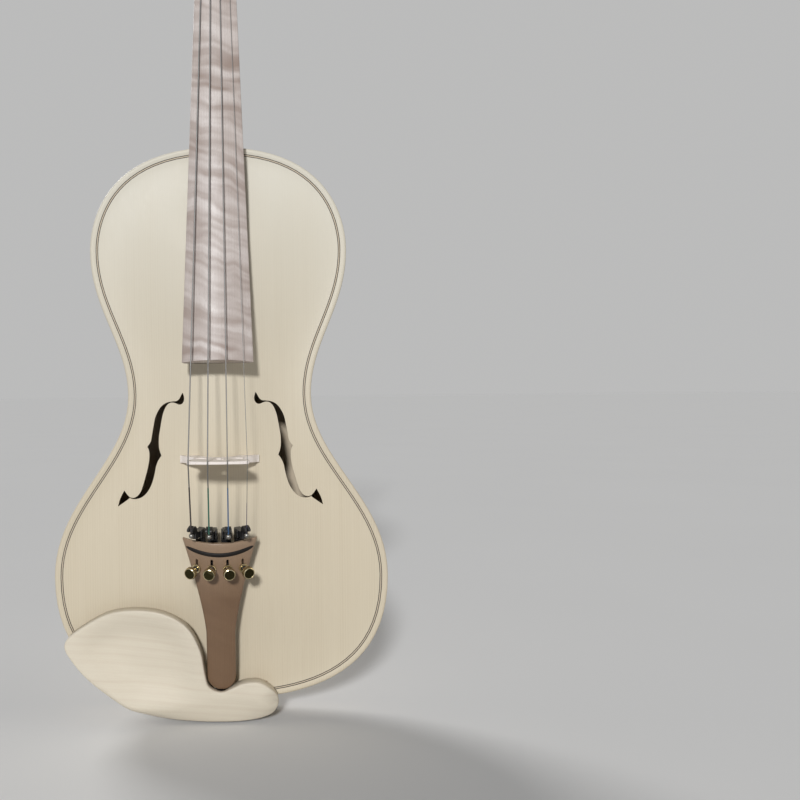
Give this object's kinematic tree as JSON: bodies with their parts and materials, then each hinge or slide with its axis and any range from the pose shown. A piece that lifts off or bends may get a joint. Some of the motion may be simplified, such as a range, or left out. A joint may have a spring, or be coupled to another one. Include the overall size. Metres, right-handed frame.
{
  "type": "cornerless violin",
  "caption": "Cornerless violin in the white with a guitar-shaped spruce and maple body, florid sound holes, scroll, fine tuners and a carved wooden chin rest on a metal clamp.",
  "frame": {"origin": "centre of the end button's flat end", "axes": "+Z along the body from the end button to the scroll, -Y out of the top plate, +X to the treble side"},
  "size_m": [0.2124, 0.0941, 0.6048],
  "materials": {
    "top_wood": "unvarnished close-grained spruce, matt",
    "body_wood": "unvarnished flamed maple, satin",
    "inner_wood": "plain planed wood, matt",
    "purfling_wood": "thin dark and pale strips, matt",
    "neck_wood": "oiled flamed wood, satin",
    "board_wood": "pinkish brown flamed wood, satin",
    "bridge_wood": "pale maple, matt",
    "dark_wood": "polished black hardwood",
    "chinrest_wood": "pale carved wood, satin",
    "cork": "sheet cork, matt",
    "string_metal": "flat wound metal over a core, with coloured silk ends",
    "tailgut_plastic": "black nylon",
    "tuner_black": "black coated steel",
    "tuner_brass": "polished brass",
    "clamp_metal": "bright nickel plate"
  },
  "bodies": {
    "violin": {"top_plate": "top_wood", "back_plate": "body_wood", "bass_rib": "body_wood", "treble_rib": "body_wood", "neck_block": "inner_wood", "end_block": "inner_wood", "bass_lining_top": "inner_wood", "bass_lining_back": "inner_wood", "treble_lining_top": "inner_wood", "treble_lining_back": "inner_wood", "bass_bar": "inner_wood", "sound_post": "inner_wood", "purfling_back": "purfling_wood", "purfling_top_bass": "purfling_wood", "purfling_top_treble": "purfling_wood", "neck": "neck_wood", "fingerboard": "board_wood", "nut": "dark_wood", "bridge": "bridge_wood", "tailpiece": "board_wood", "tailpiece_fret": "dark_wood", "tailgut": "tailgut_plastic", "saddle": "dark_wood", "end_button": "dark_wood", "string_g": "string_metal", "string_d": "string_metal", "string_a": "string_metal", "string_e": "string_metal", "tuner_frame_g": "tuner_black", "tuner_frame_d": "tuner_black", "tuner_frame_a": "tuner_black", "tuner_frame_e": "tuner_black", "tuner_nut_g": "tuner_brass", "tuner_nut_d": "tuner_brass", "tuner_nut_a": "tuner_brass", "tuner_nut_e": "tuner_brass", "chinrest": "chinrest_wood", "chinrest_cork_bass": "cork", "chinrest_cork_treble": "cork", "clamp_plate_bass": "clamp_metal", "clamp_plate_treble": "clamp_metal", "clamp_screw_bass": "clamp_metal", "clamp_screw_treble": "clamp_metal"},
    "g_peg": {"peg_g": "dark_wood"},
    "d_peg": {"peg_d": "dark_wood"},
    "a_peg": {"peg_a": "dark_wood"},
    "e_peg": {"peg_e": "dark_wood"},
    "g_screw": {"tuner_screw_g": "tuner_brass"},
    "d_screw": {"tuner_screw_d": "tuner_brass"},
    "a_screw": {"tuner_screw_a": "tuner_brass"},
    "e_screw": {"tuner_screw_e": "tuner_brass"},
    "g_lever": {"tuner_lever_g": "tuner_black"},
    "d_lever": {"tuner_lever_d": "tuner_black"},
    "a_lever": {"tuner_lever_a": "tuner_black"},
    "e_lever": {"tuner_lever_e": "tuner_black"},
    "bass_barrel": {"clamp_barrel_bass": "clamp_metal"},
    "treble_barrel": {"clamp_barrel_treble": "clamp_metal"},
    "rest_foot": {"clamp_foot": "clamp_metal", "foot_cork": "cork"}
  },
  "joints": [
    {"name": "peg_g_turn", "type": "hinge", "parent": "violin", "child": "g_peg", "pos_m": [0, 0.0016, 0.51508], "axis": [-1, 0, 0], "continuous": true},
    {"name": "peg_d_turn", "type": "hinge", "parent": "violin", "child": "d_peg", "pos_m": [0, 0.00721, 0.54149], "axis": [-1, 0, 0], "continuous": true},
    {"name": "peg_a_turn", "type": "hinge", "parent": "violin", "child": "a_peg", "pos_m": [0, 0.00991, 0.5542], "axis": [1, 0, 0], "continuous": true},
    {"name": "peg_e_turn", "type": "hinge", "parent": "violin", "child": "e_peg", "pos_m": [0, 0.00419, 0.52731], "axis": [1, 0, 0], "continuous": true},
    {"name": "tuner_screw_g_travel", "type": "slide", "parent": "violin", "child": "g_screw", "axis": [0.3939, 0.9004, 0.1846], "range_m": [-0.0012, 0.002]},
    {"name": "tuner_screw_d_travel", "type": "slide", "parent": "violin", "child": "d_screw", "axis": [0.1454, 0.9692, 0.1987], "range_m": [-0.0012, 0.002]},
    {"name": "tuner_screw_a_travel", "type": "slide", "parent": "violin", "child": "a_screw", "axis": [-0.1454, 0.9692, 0.1987], "range_m": [-0.0012, 0.002]},
    {"name": "tuner_screw_e_travel", "type": "slide", "parent": "violin", "child": "e_screw", "axis": [-0.3939, 0.9004, 0.1846], "range_m": [-0.0012, 0.002]},
    {"name": "tuner_lever_g_tilt", "type": "hinge", "parent": "violin", "child": "g_lever", "pos_m": [-0.01274, -0.04364, 0.12395], "axis": [0.9191, -0.3859, -0.0791], "range_deg": [-3.3, 5.4], "deforming": ["string_g"]},
    {"name": "tuner_lever_d_tilt", "type": "hinge", "parent": "violin", "child": "d_lever", "pos_m": [-0.00434, -0.04612, 0.12399], "axis": [0.9894, -0.1424, -0.0292], "range_deg": [-3.3, 5.4], "deforming": ["string_d"]},
    {"name": "tuner_lever_a_tilt", "type": "hinge", "parent": "violin", "child": "a_lever", "pos_m": [0.00434, -0.04612, 0.12399], "axis": [0.9894, 0.1424, 0.0292], "range_deg": [-3.3, 5.4], "deforming": ["string_a"]},
    {"name": "tuner_lever_e_tilt", "type": "hinge", "parent": "violin", "child": "e_lever", "pos_m": [0.01274, -0.04364, 0.12395], "axis": [0.9191, 0.3859, 0.0791], "range_deg": [-3.3, 5.4], "deforming": ["string_e"]},
    {"name": "clamp_barrel_bass_turn", "type": "hinge", "parent": "violin", "child": "bass_barrel", "pos_m": [-0.0155, 0, 0.0101], "axis": [0, 1, 0], "range_deg": [0, 721]},
    {"name": "clamp_barrel_treble_turn", "type": "hinge", "parent": "violin", "child": "treble_barrel", "pos_m": [0.0155, 0, 0.0101], "axis": [0, 1, 0], "range_deg": [0, 721]},
    {"name": "clamp_foot_travel", "type": "slide", "parent": "violin", "child": "rest_foot", "axis": [0, 1, 0], "range_m": [0, 0.0028]}
  ],
  "couplings": [
    {"joint": "tuner_lever_g_tilt", "follows": "tuner_screw_g_travel", "rad_per_m": 45.87},
    {"joint": "tuner_lever_d_tilt", "follows": "tuner_screw_d_travel", "rad_per_m": 45.87},
    {"joint": "tuner_lever_a_tilt", "follows": "tuner_screw_a_travel", "rad_per_m": 45.87},
    {"joint": "tuner_lever_e_tilt", "follows": "tuner_screw_e_travel", "rad_per_m": 45.87},
    {"joint": "clamp_barrel_bass_turn", "follows": "clamp_foot_travel", "rad_per_m": 4488},
    {"joint": "clamp_barrel_treble_turn", "follows": "clamp_foot_travel", "rad_per_m": 4488}
  ]
}
